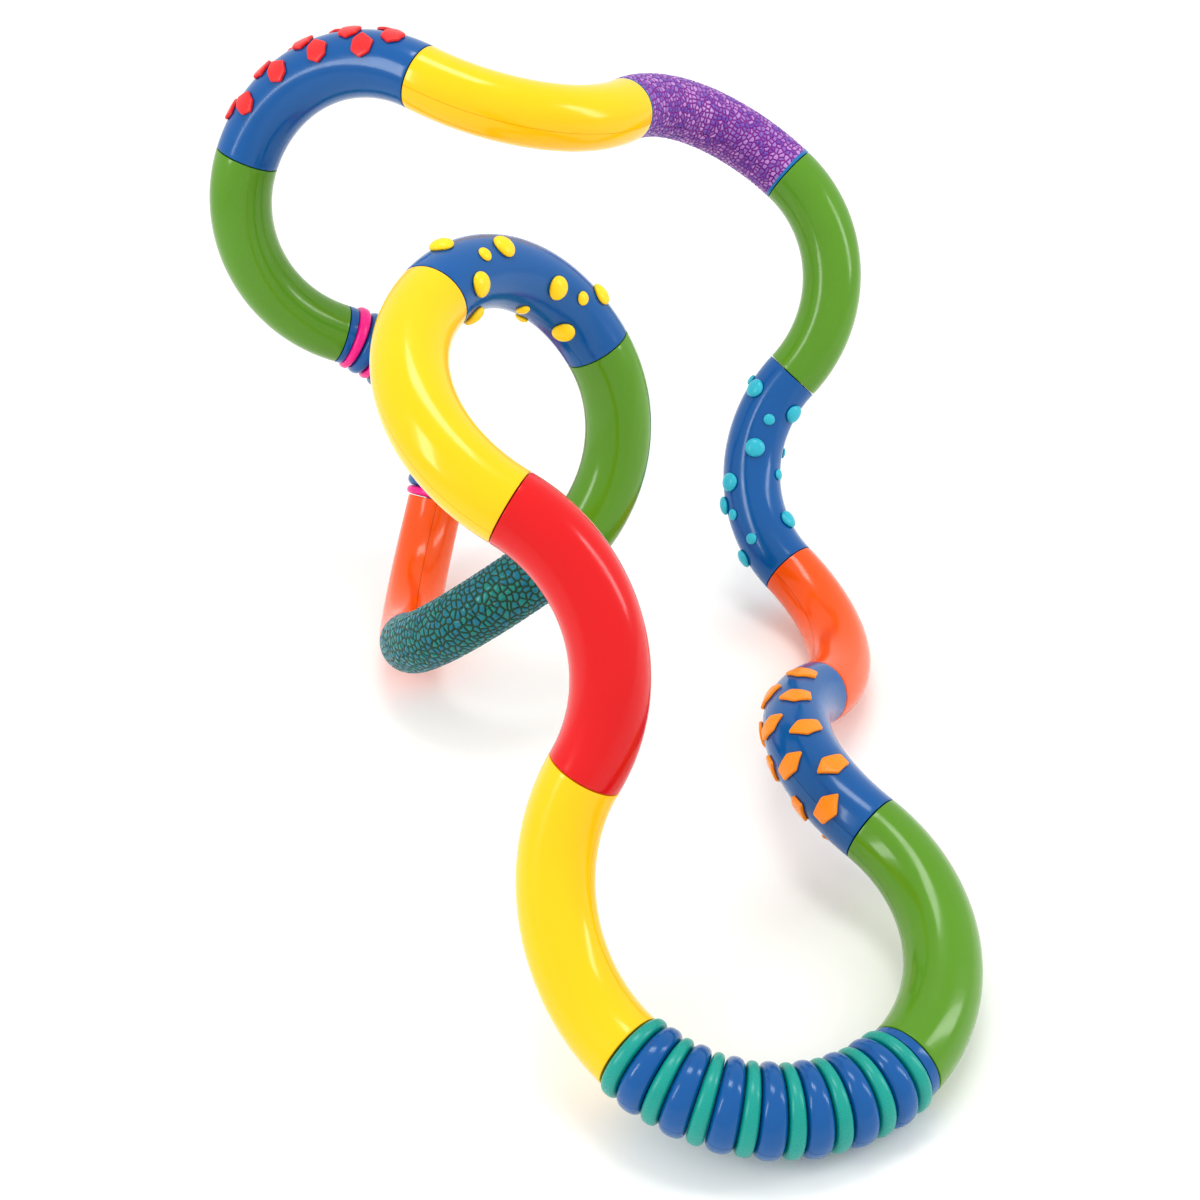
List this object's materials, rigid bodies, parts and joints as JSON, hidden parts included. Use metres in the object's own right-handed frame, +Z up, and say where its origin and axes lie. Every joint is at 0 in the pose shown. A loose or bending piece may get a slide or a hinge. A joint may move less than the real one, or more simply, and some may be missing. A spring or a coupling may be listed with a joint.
{
  "type": "twisting loop puzzle",
  "caption": "Closed loop of hollow quarter-bend tubes joined end to end by snap-in swivels, some with raised soft textures, that twists into endless curves.",
  "frame": {"origin": "on the ground, under the middle of the bounding box", "axes": "+Z up, +X to the right, +Y away from the front, where the blue bend with aqua rings lies"},
  "size_m": [0.205, 0.3006, 0.1882],
  "materials": {
    "yellow_shell": "moulded, glossy",
    "purple_shell": "moulded, glossy",
    "green_shell": "moulded, glossy",
    "blue_shell": "moulded, glossy",
    "orange_shell": "moulded, glossy",
    "red_shell": "moulded, glossy",
    "teal_shell": "moulded, glossy",
    "cyan_soft": "moulded, satin",
    "amber_soft": "moulded, satin",
    "coral_soft": "moulded, satin",
    "aqua_soft": "moulded, satin",
    "pink_soft": "moulded, satin",
    "yellow_soft": "moulded, satin",
    "peg": "moulded, natural"
  },
  "bodies": {
    "segment_01": {"seg01_yellow_shell_half_a": "yellow_shell", "seg01_yellow_shell_half_b": "yellow_shell", "seg01_swivel_peg": "peg"},
    "segment_02": {"seg02_purple_shell_half_a": "purple_shell", "seg02_purple_shell_half_b": "purple_shell", "seg02_swivel_peg": "peg"},
    "segment_03": {"seg03_green_shell_half_a": "green_shell", "seg03_green_shell_half_b": "green_shell", "seg03_swivel_peg": "peg"},
    "segment_04": {"seg04_blue_shell_half_a": "blue_shell", "seg04_blue_shell_half_b": "blue_shell", "seg04_swivel_peg": "peg", "seg04_cyan_domes": "cyan_soft"},
    "segment_05": {"seg05_orange_shell_half_a": "orange_shell", "seg05_orange_shell_half_b": "orange_shell", "seg05_swivel_peg": "peg"},
    "segment_06": {"seg06_blue_shell_half_a": "blue_shell", "seg06_blue_shell_half_b": "blue_shell", "seg06_swivel_peg": "peg", "seg06_amber_leaves": "amber_soft"},
    "segment_07": {"seg07_green_shell_half_a": "green_shell", "seg07_green_shell_half_b": "green_shell", "seg07_swivel_peg": "peg"},
    "segment_08": {"seg08_blue_shell_half_a": "blue_shell", "seg08_blue_shell_half_b": "blue_shell", "seg08_swivel_peg": "peg", "seg08_aqua_ring_set": "aqua_soft"},
    "segment_09": {"seg09_yellow_shell_half_a": "yellow_shell", "seg09_yellow_shell_half_b": "yellow_shell", "seg09_swivel_peg": "peg"},
    "segment_10": {"seg10_red_shell_half_a": "red_shell", "seg10_red_shell_half_b": "red_shell", "seg10_swivel_peg": "peg"},
    "segment_11": {"seg11_yellow_shell_half_a": "yellow_shell", "seg11_yellow_shell_half_b": "yellow_shell", "seg11_swivel_peg": "peg"},
    "segment_12": {"seg12_blue_shell_half_a": "blue_shell", "seg12_blue_shell_half_b": "blue_shell", "seg12_swivel_peg": "peg", "seg12_yellow_domes": "yellow_soft"},
    "segment_13": {"seg13_green_shell_half_a": "green_shell", "seg13_green_shell_half_b": "green_shell", "seg13_swivel_peg": "peg"},
    "segment_14": {"seg14_teal_shell_half_a": "teal_shell", "seg14_teal_shell_half_b": "teal_shell", "seg14_swivel_peg": "peg"},
    "segment_15": {"seg15_orange_shell_half_a": "orange_shell", "seg15_orange_shell_half_b": "orange_shell", "seg15_swivel_peg": "peg"},
    "segment_16": {"seg16_blue_shell_half_a": "blue_shell", "seg16_blue_shell_half_b": "blue_shell", "seg16_swivel_peg": "peg", "seg16_pink_ring_set": "pink_soft"},
    "segment_17": {"seg17_green_shell_half_a": "green_shell", "seg17_green_shell_half_b": "green_shell", "seg17_swivel_peg": "peg"},
    "segment_18": {"seg18_blue_shell_half_a": "blue_shell", "seg18_blue_shell_half_b": "blue_shell", "seg18_swivel_peg": "peg", "seg18_coral_hexagons": "coral_soft"}
  },
  "joints": [
    {"name": "swivel_15_16", "type": "hinge", "parent": "segment_16", "child": "segment_15", "pos_m": [-0.04343, 0.10203, 0.03046], "axis": [-0.3034, -0.528, -0.7932], "continuous": true},
    {"name": "swivel_16_17", "type": "hinge", "parent": "segment_17", "child": "segment_16", "pos_m": [-0.06898, 0.11703, 0.08773], "axis": [0.8638, 0.1989, -0.4629], "range_deg": [0, 225]},
    {"name": "swivel_17_18", "type": "hinge", "parent": "segment_18", "child": "segment_17", "pos_m": [-0.08825, 0.11456, 0.14922], "axis": [0.4412, 0.1447, 0.8857], "range_deg": [0, 285]},
    {"name": "swivel_18_01", "type": "hinge", "parent": "segment_01", "child": "segment_18", "pos_m": [-0.03113, 0.09901, 0.17479], "axis": [0.8115, -0.4857, -0.3249], "range_deg": [0, 330]},
    {"name": "swivel_01_02", "type": "hinge", "parent": "segment_02", "child": "segment_01", "pos_m": [0.02792, 0.11655, 0.1557], "axis": [0.4833, 0.8704, -0.0939], "range_deg": [0, 210]},
    {"name": "swivel_02_03", "type": "hinge", "parent": "segment_03", "child": "segment_02", "pos_m": [0.08084, 0.13619, 0.12452], "axis": [0.6773, -0.4397, -0.5898], "range_deg": [0, 285]},
    {"name": "swivel_03_04", "type": "hinge", "parent": "segment_04", "child": "segment_03", "pos_m": [0.07904, 0.10641, 0.06735], "axis": [-0.7167, -0.2134, -0.6639], "range_deg": [0, 225]},
    {"name": "swivel_04_05", "type": "hinge", "parent": "segment_05", "child": "segment_04", "pos_m": [0.07309, 0.06476, 0.01847], "axis": [0.5863, -0.6999, -0.408], "range_deg": [0, 45]},
    {"name": "swivel_05_06", "type": "hinge", "parent": "segment_05", "child": "segment_06", "pos_m": [0.07341, 0.00028, 0.01777], "axis": [0.5794, 0.7142, -0.3926], "range_deg": [0, 285]},
    {"name": "swivel_06_07", "type": "hinge", "parent": "segment_06", "child": "segment_07", "pos_m": [0.07778, -0.06378, 0.02385], "axis": [-0.6753, 0.6904, 0.2594], "range_deg": [0, 90]},
    {"name": "swivel_07_08", "type": "hinge", "parent": "segment_07", "child": "segment_08", "pos_m": [0.07573, -0.12687, 0.01065], "axis": [0.7202, 0.6931, 0.03], "range_deg": [0, 300]},
    {"name": "swivel_08_09", "type": "hinge", "parent": "segment_08", "child": "segment_09", "pos_m": [0.01186, -0.12667, 0.01953], "axis": [0.6805, -0.6974, -0.2248], "range_deg": [0, 330]},
    {"name": "swivel_09_10", "type": "hinge", "parent": "segment_09", "child": "segment_10", "pos_m": [0.00563, -0.08232, 0.06593], "axis": [0.5439, 0.2752, 0.7927], "range_deg": [0, 210]},
    {"name": "swivel_10_11", "type": "hinge", "parent": "segment_10", "child": "segment_11", "pos_m": [-0.00728, -0.05446, 0.12264], "axis": [-0.827, 0.336, 0.4508], "range_deg": [0, 345]},
    {"name": "swivel_11_12", "type": "hinge", "parent": "segment_11", "child": "segment_12", "pos_m": [-0.02495, 0.00128, 0.14983], "axis": [-0.4395, -0.8864, -0.1456], "range_deg": [0, 30]},
    {"name": "swivel_12_13", "type": "hinge", "parent": "segment_12", "child": "segment_13", "pos_m": [0.01479, 0.03867, 0.11546], "axis": [-0.432, 0.0665, 0.8994], "range_deg": [0, 210]},
    {"name": "swivel_13_14", "type": "hinge", "parent": "segment_13", "child": "segment_14", "pos_m": [-0.00394, 0.01809, 0.05729], "axis": [-0.8427, -0.385, -0.3763], "continuous": true}
  ]
}
